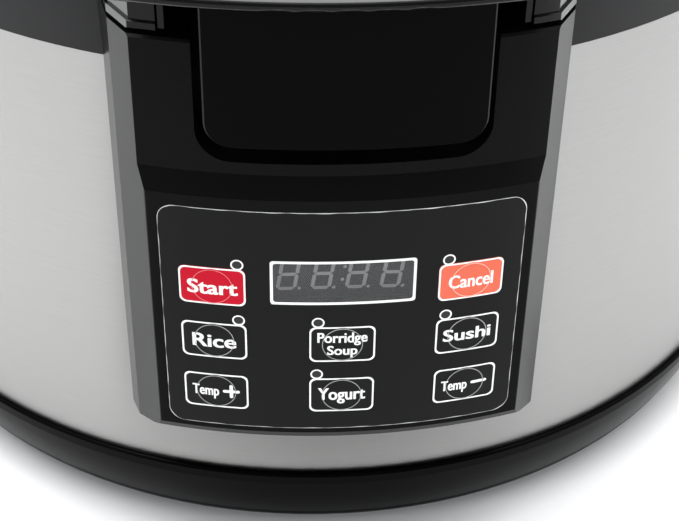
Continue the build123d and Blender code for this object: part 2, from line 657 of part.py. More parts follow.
def lid_screws():
    head = disc(3.4, 239.4, 241)
    head = fillet(head.edges().group_by(Axis.Z)[0], 0.8) - block(-2.2, 2.2, -0.4, 0.4, 239, 240.1)
    return around(Pos(176, 0, 0) * (head + disc(1.6, 240.5, 250)), 6)


def lid_gasket():
    return ring([(154.2, 236), (156.5, 232.3), (161.5, 232.3), (162.5, 234.5), (160.5, 241), (154.2, 241)])


def inner_lid_plate():
    plate = disc(153.8, 236.6, 238.0) + disc(9, 238, 241) + disc(9, 234.5, 236.6)
    for hole in around(Pos(60, 0, 0) * disc(2.5, 235, 240), 12):
        plate -= hole
    plate -= disc(8, 235, 240, 0, VENT_Y)
    return plate


def steam_vent():
    vent_floor = 297.0
    vent = tube(12, 10, 241.5, vent_floor)
    vent += tube(VENT_R, 10, vent_floor, vent_floor + 2)
    vent += tube(VENT_R, VENT_R - 2, vent_floor, 307.5)
    return Pos(0, VENT_Y, 0) * vent


def steam_cap():
    cap = disc(VENT_R - 2.5, 299.5, 314.5)
    cap = fillet(cap.edges().group_by(Axis.Z)[-1], 3)
    cap -= disc(VENT_R - 5, 298, 312)
    for slot in around(block(8, 16, -1.2, 1.2, 310, 316), 10):
        cap -= slot
    return Pos(0, VENT_Y, 0) * cap


# ---- latch ----
def latch_panel():
    outline = Plane.XZ.offset(200) * Pos(0, (LATCH_LOW + LATCH_TOP) / 2 + 5) * \
        RectangleRounded(2 * LATCH_HALF, LATCH_TOP - LATCH_LOW + 10, 8.5)
    plate = extrude(outline, 60) & tube(LATCH_R, LATCH_R - LATCH_T, LATCH_LOW - 5, LATCH_TOP)
    plate = chamfer(plate.faces().sort_by(Axis.Y)[0].edges(), 0.5)
    for side in (-1, 1):
        x0, x1 = sorted((side * 35, side * 39))
        ear = rod_x(4.5, x0, x1, LATCH_AXIS_Y, LATCH_AXIS_Z)
        ear += block(x0, x1, -240, LATCH_AXIS_Y, LATCH_AXIS_Z - 4.5, LATCH_AXIS_Z + 2) & Cylinder(LATCH_R - 1, 600)
        plate += ear
    plate -= rod_x(LATCH_PIN_R + 0.05, -42, 42, LATCH_AXIS_Y, LATCH_AXIS_Z)
    return plate


def latch_hook():
    hook = block(-9, 9, -230.5, -209.2, 214.6, 218.0) + block(-9, 9, -230.5, -226.5, 214.6, 232)
    hook += block(-9, 9, -211.8, -209.2, 214.6, 218.1)
    return hook & Cylinder(LATCH_R - LATCH_T, 600)


def latch_pin():
    return chamfer(rod_x(LATCH_PIN_R, -40, 40, LATCH_AXIS_Y, LATCH_AXIS_Z).edges(), 0.4)


def latch_spring():
    return Pos(-9, LATCH_AXIS_Y, LATCH_AXIS_Z) * Rot(0, 90, 0) * coil(3.3, 1.0, 2.3, 17.25)


def keeper():
    ledge = block(-14, 14, -213.6, -204, 218.6, 221.6) + block(-14, 14, -210, -204, 218.6, 232)
    ledge -= Cylinder(RECESS_R, 600)
    for x in KEEPER_SCREW_X:
        ledge -= rod_y(1.4, -215, -200, x, KEEPER_SCREW_Z)
    return ledge


def keeper_screws():
    return [rod_y(2.4, -211.4, -210, x, KEEPER_SCREW_Z) + rod_y(1.3, -211, -201, x, KEEPER_SCREW_Z)
            for x in KEEPER_SCREW_X]


def main():
    os.makedirs("parts", exist_ok=True)
    single = [
        base_pan, feet, outer_wall, top_collar, control_pod, overlay_film, indicator_lenses, control_board,
        tact_switches, led_display, display_window, ribbon_cable, inner_pot, liner, liner_legs, base_screws,
        heater_plate, heater_posts, sensor_bracket, sensor_cup, sensor_spring, band_heater, thermal_fuse,
        power_board, transformer, relays, wiring, inlet_bezel, power_inlet, inlet_screws, hinge_housing,
        hinge_pin, hinge_springs, condensate_cup, handle_screws, lid_shell, lid_inner_cover, lid_screws,
        lid_gasket, inner_lid_plate, steam_vent, steam_cap, latch_panel, latch_hook, latch_pin, latch_spring,
        keeper, keeper_screws,
    ]
    for maker in single:
        save(maker.__name__, maker())
    save("right_handle", handle(1))
    save("left_handle", handle(-1))
    for name, (arc, z) in KEYS.items():
        save(name, key(arc, z))


main()
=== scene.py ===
import math

import bmesh
import bpy
from mathutils import Matrix, Vector


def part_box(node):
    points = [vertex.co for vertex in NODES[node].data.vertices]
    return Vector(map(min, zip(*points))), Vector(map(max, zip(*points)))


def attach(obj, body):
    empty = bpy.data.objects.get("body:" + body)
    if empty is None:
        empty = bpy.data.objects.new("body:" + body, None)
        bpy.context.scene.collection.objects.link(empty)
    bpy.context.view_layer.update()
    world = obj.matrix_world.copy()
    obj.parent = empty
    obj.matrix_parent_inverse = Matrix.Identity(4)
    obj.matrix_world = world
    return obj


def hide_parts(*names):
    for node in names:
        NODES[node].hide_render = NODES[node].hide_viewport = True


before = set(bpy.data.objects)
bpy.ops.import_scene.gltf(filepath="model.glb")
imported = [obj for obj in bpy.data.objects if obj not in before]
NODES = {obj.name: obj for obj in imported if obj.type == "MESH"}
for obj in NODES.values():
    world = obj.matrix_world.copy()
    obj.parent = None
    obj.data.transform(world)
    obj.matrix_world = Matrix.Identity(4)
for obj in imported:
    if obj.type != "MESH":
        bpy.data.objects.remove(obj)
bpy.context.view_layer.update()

# Electric rice and multi cooker: looks around the fixed frame.
# Lengths are in millimetres and become metres through MM. The panel faces -Y.
MM = 0.001
FACE_R = 226.6            # curved front of the control pod
FILM_R = FACE_R + 0.25    # outside of the printed film
KEY_W, KEY_H, KEY_CORNER = 22.3, 15.1, 2.2
DOME_R = 6.75             # embossed ring on each key
DISPLAY_W, DISPLAY_H, DISPLAY_Z = 47.5, 17.2, 149.8
FILM_LOW, FILM_HIGH, FILM_HALF = 86.0, 177.7, 60.3
PRINT = 0.05              # thickness of printed lines
COLUMN, RIGHT_COLUMN = 43.2, 42.8
ROW_TOP, ROW_MID, ROW_LOW = 146.9, 123.9, 101.4
LAMP_RISE = 9.4

# name: (arc, height, finish, lamp's arc shift or None)
KEYS = {
    "key_start": (-COLUMN, ROW_TOP, "key_red", 8.5),
    "key_rice": (-COLUMN, ROW_MID, "key_black", 8.5),
    "key_temp_up": (-COLUMN, ROW_LOW, "key_black", None),
    "key_porridge_soup": (0.0, ROW_MID, "key_black", -8.2),
    "key_yogurt": (0.0, ROW_LOW, "key_black", -8.6),
    "key_cancel": (RIGHT_COLUMN, ROW_TOP, "key_coral", -8.0),
    "key_sushi": (RIGHT_COLUMN, ROW_MID, "key_black", -8.0),
    "key_temp_down": (COLUMN, ROW_LOW, "key_black", None),
}
# name: words as (text, width, capital height, centre across, centre up, stroke growth, half spread of copies)
LEGENDS = {
    "key_start": [("Start", 16.9, 5.9, 0.1, -0.3, 0.012, 0.15)],
    "key_rice": [("Rice", 15.0, 5.8, 0.0, 0.0, 0.010, 0.15)],
    "key_temp_up": [("Temp", 9.3, 4.7, -3.7, 0.2, 0.008, 0.09)],
    "key_porridge_soup": [("Porridge", 16.9, 4.4, 0.0, 3.1, 0.009, 0.1),
                          ("Soup", 10.3, 4.1, 0.0, -2.4, 0.009, 0.1)],
    "key_yogurt": [("Yogurt", 16.4, 5.5, 0.0, 0.6, 0.008, 0.13)],
    "key_cancel": [("Cancel", 15.4, 5.5, 0.0, 0.0, 0.009, 0.1)],
    "key_sushi": [("Sushi", 16.9, 5.2, 0.0, 0.2, 0.010, 0.13)],
    "key_temp_down": [("Temp", 9.3, 4.7, -3.7, 0.0, 0.008, 0.09)],
}
SIGN_ACROSS, SIGN_UP, SIGN_LONG, SIGN_THICK = 5.2, 0.1, 5.9, 1.2


# ------------------------------------------------------------------ camera, floor and light
# camera: place in metres, angles in degrees, lens and sensor in millimetres
CAMERA_PLACE = (-0.02983, -0.63265, 0.463)
HEADING, PITCH, ROLL = 4.0, 36.76, 0.94
LENS, SENSOR = 83.42, 36.0
# softboxes, in metres and watts: (name, place, height aimed at, width, height, power)
SOFTBOXES = [
    ("left_softbox", (-1.4, 0.7, 0.8), 0.12, 0.9, 1.4, 12),
    ("right_softbox", (1.5, 0.2, 0.9), 0.12, 0.9, 1.4, 3.5),
    ("top_softbox", (0, -0.1, 1.7), 0.1, 1.8, 1.4, 46),
]
AIR_COLOR, AIR_STRENGTH = (0.95, 0.97, 1.0, 1), 0.85
FLOOR_HALF, FLOOR_GREY = 6.0, 0.94
# the lying flag widens away from the panel, the standing one closes the view in front
LYING_FLAG = [(-1.0, -1.2, 0.002), (1.0, -1.2, 0.002), (0.17, -0.262, 0.002), (-0.17, -0.262, 0.002)]
STANDING_FLAG = [(-1.0, -1.3, 0.01), (1.0, -1.3, 0.01), (1.0, -1.3, 1.3), (-1.0, -1.3, 1.3)]
LYING_GREY, STANDING_GREY = 0.22, 0.01


def make_camera():
    """Above and just left of the middle, looking down at the panel."""
    heading, pitch, roll = (math.radians(angle) for angle in (HEADING, PITCH, ROLL))
    ahead = Vector((math.sin(heading) * math.cos(pitch), math.cos(heading) * math.cos(pitch),
                    -math.sin(pitch)))
    level = Vector((math.cos(heading), -math.sin(heading), 0))
    raised = level.cross(ahead)
    right = math.cos(roll) * level + math.sin(roll) * raised
    up = -math.sin(roll) * level + math.cos(roll) * raised
    data = bpy.data.cameras.new("camera")
    data.lens, data.sensor_width = LENS, SENSOR
    camera = bpy.data.objects.new("camera", data)
    turn = Matrix((right, up, -ahead)).transposed()
    camera.matrix_world = Matrix.Translation(CAMERA_PLACE) @ turn.to_4x4()
    bpy.context.scene.collection.objects.link(camera)
    bpy.context.scene.camera = camera


def add_softbox(name, place, target_height, width, height, power):
    data = bpy.data.lights.new(name, "AREA")
    data.shape, data.size, data.size_y, data.energy = "RECTANGLE", width, height, power
    light = bpy.data.objects.new(name, data)
    light.location = place
    towards = Vector((0, 0, target_height)) - Vector(place)
    light.rotation_euler = towards.to_track_quat("-Z", "Y").to_euler()
    bpy.context.scene.collection.objects.link(light)


def flat_stage(name, corners, grey, rough):
    mesh = bpy.data.meshes.new(name)
    mesh.from_pydata(corners, [], [tuple(range(len(corners)))])
    sheet = bpy.data.objects.new(name, mesh)
    bpy.context.scene.collection.objects.link(sheet)
    paper = bpy.data.materials.new(name + "_surface")
    paper.use_nodes = True
    shader = paper.node_tree.nodes["Principled BSDF"]
    shader.inputs["Base Color"].default_value = (grey, grey, grey, 1)
    shader.inputs["Roughness"].default_value = rough
    shader.inputs["Specular IOR Level"].default_value = 0.0
    mesh.materials.append(paper)
    return sheet


def make_studio():
    turns = [(-1, -1), (1, -1), (1, 1), (-1, 1)]
    flat_stage("studio_floor", [(x * FLOOR_HALF, y * FLOOR_HALF, 0) for x, y in turns], FLOOR_GREY, 0.9)
    # dark flags that only reflections see, so that the glossy front stays dark
    for flag in (flat_stage("front_flag", LYING_FLAG, LYING_GREY, 1.0),
                 flat_stage("standing_flag", STANDING_FLAG, STANDING_GREY, 1.0)):
        flag.visible_camera = flag.visible_diffuse = False
        flag.visible_shadow = flag.visible_transmission = False
    world = bpy.data.worlds.new("studio_air")
    world.use_nodes = True
    air = world.node_tree.nodes["Background"]
    air.inputs["Color"].default_value = AIR_COLOR
    air.inputs["Strength"].default_value = AIR_STRENGTH
    bpy.context.scene.world = world
    bpy.context.scene.view_settings.view_transform = "Standard"
    for softbox in SOFTBOXES:
        add_softbox(*softbox)


# ------------------------------------------------------------------ shader groups
def group_of(name, inputs, outputs):
    group = bpy.data.node_groups.new(name, "ShaderNodeTree")
    for label, kind, value in inputs:
        socket = group.interface.new_socket(name=label, in_out="INPUT", socket_type=kind)
        socket.default_value = value
    for label, kind in outputs:
        group.interface.new_socket(name=label, in_out="OUTPUT", socket_type=kind)
    return group, group.nodes.new("NodeGroupInput"), group.nodes.new("NodeGroupOutput")


def math_node(tree, operation, a, b=None):
    """Math node in a shader or geometry tree; each input is a number or another node's output."""
    node = tree.nodes.new("ShaderNodeMath")
    node.operation = operation
    for index, value in enumerate((a, b)):
        if value is None:
            continue
        if isinstance(value, (int, float)):
            node.inputs[index].default_value = value
        else:
            tree.links.new(value, node.inputs[index])
    return node.outputs[0]


def noise(tree, vector, scale, detail=3.0, rough=0.55):
    node = tree.nodes.new("ShaderNodeTexNoise")
    tree.links.new(vector, node.inputs["Vector"])
    if isinstance(scale, (int, float)):
        node.inputs["Scale"].default_value = scale
    else:
        tree.links.new(scale, node.inputs["Scale"])
    node.inputs["Detail"].default_value = detail
    node.inputs["Roughness"].default_value = rough
    return node.outputs["Fac"]


def put_out_finish(group, source, sink, wave, amount, rough_amount):
    """Puts out the colour and the roughness, each moved up and down as the wave leaves one half."""
    centred = math_node(group, "SUBTRACT", wave, 0.5)
    bright = math_node(group, "ADD", math_node(group, "MULTIPLY", centred, source.outputs[amount]), 1.0)
    tint = group.nodes.new("ShaderNodeVectorMath")
    tint.operation = "SCALE"
    group.links.new(source.outputs["Color"], tint.inputs[0])
    group.links.new(bright, tint.inputs["Scale"])
    group.links.new(tint.outputs[0], sink.inputs["Color"])
    shift = math_node(group, "MULTIPLY", centred, source.outputs[rough_amount])
    rough = math_node(group, "ADD", source.outputs["Roughness"], shift)
    group.links.new(rough, sink.inputs["Roughness"])


def fine_grain_group():
    """Fine moulded texture and slow colour drift, for plastics."""
    group, source, sink = group_of(
        "fine_grain",
        [("Grain Size", "NodeSocketFloat", 900.0), ("Drift Size", "NodeSocketFloat", 14.0),
         ("Color", "NodeSocketColor", (0.03, 0.03, 0.03, 1)), ("Drift", "NodeSocketFloat", 0.12),
         ("Roughness", "NodeSocketFloat", 0.4), ("Rough Drift", "NodeSocketFloat", 0.08)],
        [("Color", "NodeSocketColor"), ("Roughness", "NodeSocketFloat"), ("Height", "NodeSocketFloat")])
    where = group.nodes.new("ShaderNodeTexCoord").outputs["Object"]
    grain = noise(group, where, source.outputs["Grain Size"], detail=2.0)
    drift = noise(group, where, source.outputs["Drift Size"], detail=4.0, rough=0.6)
    put_out_finish(group, source, sink, drift, "Drift", "Rough Drift")
    group.links.new(grain, sink.inputs["Height"])
    return group


def wrapped_brush_group():
    """Fine lines that run round the upright axis, as on sheet brushed before it is rolled."""
    group, source, sink = group_of(
        "wrapped_brush",
        [("Line Density", "NodeSocketFloat", 2600.0), ("Line Stretch", "NodeSocketFloat", 9.0),
         ("Color", "NodeSocketColor", (0.6, 0.6, 0.6, 1)), ("Streak", "NodeSocketFloat", 0.12),
         ("Roughness", "NodeSocketFloat", 0.3), ("Rough Streak", "NodeSocketFloat", 0.12)],
        [("Color", "NodeSocketColor"), ("Roughness", "NodeSocketFloat"), ("Height", "NodeSocketFloat")])
    split = group.nodes.new("ShaderNodeSeparateXYZ")
    group.links.new(group.nodes.new("ShaderNodeTexCoord").outputs["Object"], split.inputs[0])
    angle = math_node(group, "ARCTAN2", split.outputs["X"], split.outputs["Y"])
    along = math_node(group, "MULTIPLY", angle, source.outputs["Line Stretch"])
    across = math_node(group, "MULTIPLY", split.outputs["Z"], source.outputs["Line Density"])
    squares = [math_node(group, "MULTIPLY", split.outputs[axis], split.outputs[axis]) for axis in "XY"]
    radius = math_node(group, "POWER", math_node(group, "ADD", *squares), 0.5)
    inward = math_node(group, "MULTIPLY", radius, source.outputs["Line Density"])
    join = group.nodes.new("ShaderNodeCombineXYZ")
    for socket, value in zip(join.inputs, (along, across, inward)):
        group.links.new(value, socket)
    lines = noise(group, join.outputs[0], 1.0, detail=3.0, rough=0.65)
    put_out_finish(group, source, sink, lines, "Streak", "Rough Streak")
    group.links.new(lines, sink.inputs["Height"])
    return group


def speckle_group():
    """Light flecks scattered in a dark coating."""
    group, source, sink = group_of(
        "flecked_coat",
        [("Fleck Size", "NodeSocketFloat", 700.0), ("Cover", "NodeSocketFloat", 0.13),
         ("Color", "NodeSocketColor", (0.03, 0.03, 0.03, 1)),
         ("Fleck Color", "NodeSocketColor", (0.4, 0.4, 0.4, 1))],
        [("Color", "NodeSocketColor"), ("Height", "NodeSocketFloat")])
    where = group.nodes.new("ShaderNodeTexCoord").outputs["Object"]
    cells = group.nodes.new("ShaderNodeTexVoronoi")
    group.links.new(where, cells.inputs["Vector"])
    group.links.new(source.outputs["Fleck Size"], cells.inputs["Scale"])
    fleck = math_node(group, "LESS_THAN", cells.outputs["Distance"], source.outputs["Cover"])
    mix = group.nodes.new("ShaderNodeMix")
    mix.data_type = "RGBA"
    group.links.new(fleck, mix.inputs["Factor"])
    coat_input, fleck_input, mixed_output = mix.inputs[6], mix.inputs[7], mix.outputs[2]
    group.links.new(source.outputs["Color"], coat_input)
    group.links.new(source.outputs["Fleck Color"], fleck_input)
    group.links.new(mixed_output, sink.inputs["Color"])
    group.links.new(cells.outputs["Distance"], sink.inputs["Height"])
    return group


GRAIN, BRUSH, SPECKLE = fine_grain_group(), wrapped_brush_group(), speckle_group()
GRAIN_DEPTH, BRUSH_DEPTH, COAT_DEPTH = 0.0001, 0.00004, 0.00005      # bump distances, metres
LINE_STRETCH = 9.0


# ------------------------------------------------------------------ materials
def base_material(name, group, values, bump, distance, **shader_values):
    """A principled finish fed by one of the shader groups; shader_values go on its own sockets."""
    material = bpy.data.materials.new(name)
    material.use_nodes = True
    tree = material.node_tree
    shader = tree.nodes["Principled BSDF"]
    effect = tree.nodes.new("ShaderNodeGroup")
    effect.node_tree = group
    for label, value in values.items():
        effect.inputs[label].default_value = value
    tree.links.new(effect.outputs["Color"], shader.inputs["Base Color"])
    if "Roughness" in effect.outputs:
        tree.links.new(effect.outputs["Roughness"], shader.inputs["Roughness"])
    if bump:
        node = tree.nodes.new("ShaderNodeBump")
        node.inputs["Strength"].default_value, node.inputs["Distance"].default_value = bump, distance
        tree.links.new(effect.outputs["Height"], node.inputs["Height"])
        tree.links.new(node.outputs["Normal"], shader.inputs["Normal"])
    for label, value in shader_values.items():
        shader.inputs[label.replace("_", " ")].default_value = value
    return material


def plastic(name, color, rough, grain=900.0, bump=0.1, drift=0.15, rough_drift=0.08, **shader_values):
    values = {"Color": (*color, 1), "Roughness": rough, "Grain Size": grain, "Drift": drift,
              "Rough Drift": rough_drift}
    return base_material(name, GRAIN, values, bump, GRAIN_DEPTH, **shader_values)


def brushed(name, color, rough, density=2600.0, bump=0.15, streak=0.12, **shader_values):
    values = {"Color": (*color, 1), "Roughness": rough, "Line Density": density, "Streak": streak,
              "Line Stretch": LINE_STRETCH}
    return base_material(name, BRUSH, values, bump, BRUSH_DEPTH, Metallic=1.0, **shader_values)


def along_brush(material):
    """Turns the finish's stretched highlight across lines that run round the upright axis."""
    tree = material.node_tree
    tangent = tree.nodes.new("ShaderNodeTangent")
    tangent.direction_type, tangent.axis = "RADIAL", "Z"
    tree.links.new(tangent.outputs[0], tree.nodes["Principled BSDF"].inputs["Tangent"])
    return material


def make_finishes():
    """Every finish by its short name: colour and roughness first, then how its texture runs."""
    return {
        "steel": along_brush(brushed("brushed_steel_wall", (0.33, 0.325, 0.32), 0.33, bump=0.2, streak=0.2,
                                     Anisotropic=0.7, Anisotropic_Rotation=0.25)),
        "pan": plastic("pan_semi_gloss", (0.0015, 0.0015, 0.0015), 0.22, grain=500, bump=0.03,
                       Specular_IOR_Level=0.03),
        "rubber": plastic("foot_rubber", (0.012, 0.012, 0.012), 0.75, grain=1400, bump=0.4),
        "collar": plastic("collar_satin", (0.021, 0.021, 0.0215), 0.42, grain=1500, bump=0.35,
                          Specular_IOR_Level=0.25),
        "pod": plastic("pod_gloss_black", (0.004, 0.004, 0.004), 0.2, grain=260, bump=0.02, drift=0.1,
                       rough_drift=0.03, Specular_IOR_Level=0.13),
        "film": plastic("film_matt_charcoal", (0.0095, 0.0095, 0.0098), 0.46, grain=1800, bump=0.1,
                        Specular_IOR_Level=0.15),
        "key_black": plastic("key_film_charcoal", (0.0095, 0.0095, 0.0098), 0.42, grain=1800, bump=0.1,
                             Specular_IOR_Level=0.2),
        "key_red": plastic("key_film_red", (0.5, 0.001, 0.018), 0.38, grain=1800, bump=0.1,
                           Specular_IOR_Level=0.12),
        "key_coral": plastic("key_film_coral", (0.73, 0.142, 0.082), 0.38, grain=1800, bump=0.1,
                             Specular_IOR_Level=0.12),
        # lighter rings laid on each key's embossed rim: painted highlights where the rim catches the light,
        # brighter in parts
        "painted_rim_highlight_black": plastic("key_rim_painted_highlight_grey", (0.3, 0.3, 0.3), 0.3, grain=400, bump=0.1, drift=1.6),
        "painted_rim_highlight_red": plastic("key_rim_painted_highlight_rose", (0.75, 0.16, 0.17), 0.3, grain=400, bump=0.1, drift=1.0),
        "painted_rim_highlight_coral": plastic("key_rim_painted_highlight_peach", (0.95, 0.45, 0.36), 0.3, grain=400, bump=0.1, drift=1.0),
        "print": plastic("print_white", (0.86, 0.86, 0.84), 0.5, grain=2200, bump=0.05),
        "film_edge": plastic("film_cut_edge", (0.52, 0.52, 0.525), 0.35, grain=220, bump=0.3, drift=1.9,
                             rough_drift=0.3),
        "lens": plastic("smoked_lens", (0.012, 0.012, 0.013), 0.1, grain=300, bump=0.0, drift=0.1,
                        rough_drift=0.02, Alpha=0.18, Specular_IOR_Level=0.3),
        "mesh": plastic("lens_mesh_ink", (0.3, 0.3, 0.305), 0.5, grain=1500, bump=0.05),
        "segment": plastic("unlit_segment", (0.62, 0.62, 0.62), 0.45, grain=1200, bump=0.05),
        "module": plastic("module_black", (0.012, 0.012, 0.012), 0.5, grain=1200, bump=0.1),
        "lamp": plastic("lamp_pipe", (0.025, 0.025, 0.026), 0.3, grain=900, bump=0.05),
        "board": plastic("board_mask", (0.012, 0.11, 0.045), 0.35, grain=700, bump=0.1),
        "switch": plastic("switch_body", (0.03, 0.03, 0.03), 0.5),
        "ribbon": plastic("ribbon_pvc", (0.3, 0.3, 0.32), 0.5),
        "wire": plastic("wire_pvc", (0.2, 0.03, 0.025), 0.45),
        "pot": base_material("pot_flecked_coat", SPECKLE, {"Color": (0.022, 0.022, 0.024, 1)}, 0.1,
                             COAT_DEPTH, Roughness=0.36, Metallic=0.0),
        "liner": brushed("liner_sheet", (0.5, 0.5, 0.5), 0.4, density=800),
        "alloy": brushed("turned_alloy", (0.62, 0.62, 0.62), 0.38, density=1600, bump=0.2),
        "zinc": brushed("zinc_plate", (0.52, 0.53, 0.55), 0.35, density=900),
        "spring": brushed("spring_wire", (0.46, 0.46, 0.47), 0.3, density=900),
        "foil": brushed("band_foil", (0.66, 0.66, 0.66), 0.3, density=500),
        "core": brushed("core_laminations", (0.16, 0.16, 0.16), 0.5, density=1200, bump=0.5),
        "relay": plastic("relay_case", (0.04, 0.1, 0.3), 0.4),
        "housing": plastic("housing_spark_texture", (0.012, 0.012, 0.0125), 0.48, grain=1300, bump=0.5),
        "inlet": plastic("inlet_thermoset", (0.01, 0.01, 0.01), 0.35, grain=1100, bump=0.15),
        "handle": plastic("handle_spark_texture", (0.012, 0.012, 0.0125), 0.45, grain=1300, bump=0.5),
        "cup": plastic("cup_clear", (0.16, 0.17, 0.175), 0.12, grain=300, bump=0.02, drift=0.05,
                       rough_drift=0.02, Alpha=0.45),
        "lid": plastic("lid_gloss_black", (0.005, 0.005, 0.0052), 0.16, grain=240, bump=0.02, drift=0.2,
                       rough_drift=0.04),
        "cover": plastic("cover_satin", (0.05, 0.05, 0.052), 0.4, grain=1200, bump=0.2),
        "silicone": plastic("gasket_silicone", (0.55, 0.55, 0.53), 0.55, grain=900, bump=0.2,
                            Subsurface_Weight=0.15),
        "plate": brushed("lid_plate_anodised", (0.66, 0.66, 0.66), 0.3, density=1500, bump=0.15),
        "vent": plastic("vent_satin", (0.018, 0.018, 0.0185), 0.38, grain=1100, bump=0.2),
        "latch": plastic("latch_semi_matt", (0.0015, 0.0015, 0.0016), 0.3, grain=1500, bump=0.06,
                         drift=0.08, rough_drift=0.05, Specular_IOR_Level=0.08),
        "hook": plastic("hook_glass_filled", (0.04, 0.04, 0.04), 0.5),
    }


FINISH = make_finishes()
NODE_FINISH = {
    "base_pan": "pan", "feet": "rubber", "outer_wall": "steel", "top_collar": "collar", "control_pod": "pod",
    "overlay_film": "film", "indicator_lenses": "lamp", "control_board": "board", "tact_switches": "switch",
    "led_display": "module", "display_window": "lens", "ribbon_cable": "ribbon", "inner_pot": "pot",
    "liner": "liner", "liner_legs": "zinc", "base_screws": "zinc", "heater_plate": "alloy",
    "heater_posts": "zinc", "sensor_bracket": "zinc", "sensor_cup": "alloy", "sensor_spring": "spring",
    "band_heater": "foil", "thermal_fuse": "zinc", "power_board": "board", "transformer": "core",
    "relays": "relay", "wiring": "wire", "inlet_bezel": "housing", "power_inlet": "inlet",
    "inlet_screws": "zinc", "hinge_housing": "housing", "hinge_pin": "zinc", "hinge_springs": "spring",
    "condensate_cup": "cup", "handle_screws": "zinc", "lid_shell": "lid", "lid_inner_cover": "cover",
    "lid_screws": "zinc", "lid_gasket": "silicone", "inner_lid_plate": "plate", "steam_vent": "vent",
    "steam_cap": "vent", "latch_panel": "latch", "latch_hook": "hook", "latch_pin": "zinc",
    "latch_spring": "spring", "keeper": "zinc", "keeper_screws": "zinc", "right_handle": "handle",
    "left_handle": "handle",
}


def dress_nodes():
    for name, finish in NODE_FINISH.items():
        mesh = NODES[name].data
        mesh.materials.clear()
        mesh.materials.append(FINISH[finish])


# ------------------------------------------------------------------ shapes that follow the panel
PRINT_ROOT = 0.1          # how far a printed line reaches into the surface under it
RING_STEPS = 40


def panel_point(arc, z, radius):
    angle = arc / FACE_R
    return (radius * math.sin(angle) * MM, -radius * math.cos(angle) * MM, z * MM)


def rounded_outline(width, height, corner, step=1.2, turns=8):
    """Closed outline of a rounded rectangle about the origin, split along its sides so that it can bend."""
    points = []
    for index, (sx, sy) in enumerate([(1, 1), (-1, 1), (-1, -1), (1, -1)]):
        cx, cy = sx * (width / 2 - corner), sy * (height / 2 - corner)
        for k in range(turns + 1):
            angle = math.radians(90 * index + 90 * k / turns)
            points.append((cx + corner * math.cos(angle), cy + corner * math.sin(angle)))
    dense = []
    for (ax, ay), (bx, by) in zip(points, points[1:] + points[:1]):
        parts = max(1, math.ceil(math.hypot(bx - ax, by - ay) / step))
        dense += [(ax + (bx - ax) * k / parts, ay + (by - ay) * k / parts) for k in range(parts)]
    return dense


def place_piece(name, mesh, body):
    piece = bpy.data.objects.new(name, mesh)
    bpy.context.scene.collection.objects.link(piece)
    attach(piece, body)
    return piece


def build(name, points, faces, finish, body):
    """Closed piece from its points and faces, with its faces turned outwards."""
    mesh = bpy.data.meshes.new(name)
    mesh.from_pydata(points, [], faces)
    mesh.validate()
    mesh.update()
    mesh.materials.append(FINISH[finish])
    piece = place_piece(name, mesh, body)
    outward(piece)
    return piece


def printed_loop(name, outer, inner, place, radius, body, finish="print"):
    """Closed printed line between two outlines of equal length; place adds the centre on the panel."""
    count = len(outer)
    points, faces = [], []
    for outline in (outer, inner):
        for lift in (radius + PRINT, radius - PRINT_ROOT):
            points += [panel_point(place[0] + u, place[1] + v, lift) for u, v in outline]
    outer_top, outer_low, inner_top, inner_low = (k * count for k in range(4))
    for i in range(count):
        j = (i + 1) % count
        faces.append((outer_top + i, outer_top + j, inner_top + j, inner_top + i))
        faces.append((outer_low + i, outer_low + j, outer_top + j, outer_top + i))
        faces.append((inner_top + i, inner_top + j, inner_low + j, inner_low + i))
        faces.append((inner_low + i, inner_low + j, outer_low + j, outer_low + i))
    build(name, points, faces, finish, body)


def outward(piece):
    shape = bmesh.new()
    shape.from_mesh(piece.data)
    bmesh.ops.recalc_face_normals(shape, faces=shape.faces)
    shape.to_mesh(piece.data)
    shape.free()


def frame_line(name, width, height, corner, line, place, radius, body):
    """Printed outline of a rounded rectangle, its line inside the given size."""
    outer = rounded_outline(width, height, corner)
    shrink_w, shrink_h = (width / 2 - line) / (width / 2), (height / 2 - line) / (height / 2)
    inner = [(u * shrink_w, v * shrink_h) for u, v in outer]
    printed_loop(name, outer, inner, place, radius, body)


def ring_line(name, radius_out, radius_in, place, lift, body, finish="print"):
    turn = [2 * math.pi * k / RING_STEPS for k in range(RING_STEPS)]
    outer = [(radius_out * math.cos(t), radius_out * math.sin(t)) for t in turn]
    inner = [(radius_in * math.cos(t), radius_in * math.sin(t)) for t in turn]
    printed_loop(name, outer, inner, place, lift, body, finish)


# ------------------------------------------------------------------ keys
RIM_H, RIM_HALF, DISH = 0.20, 0.30, 0.20
DOME_LOOPS = (1.5, 3.0, 4.5, 5.5, 6.1, 6.35, 6.5, 6.6, 6.7, 6.8, 6.9, 7.0, 7.15, 7.35)
BLEND_LOOPS = (0.3, 0.65, 0.97)
KEY_LIFT = FILM_R + 0.02
PAD_EDGE, PAD_BACK = -0.12, -1.3          # where the pad's rim turns back, and its flat back
OUTLINE_INSET, OUTLINE_LINE = 0.1, 0.6
# painted highlight on each key's embossed rim: a lighter ring on the rim's top, its half width and how far it
# sinks
PAINTED_HIGHLIGHT_HALF, PAINTED_HIGHLIGHT_SINK = 0.14, 0.02
LAMP_OUT, LAMP_IN = 2.15, 1.62
# finish of the painted rim highlight for each key finish
PAINTED_RIM_HIGHLIGHTS = {"key_black": "painted_rim_highlight_black", "key_red": "painted_rim_highlight_red", "key_coral": "painted_rim_highlight_coral"}
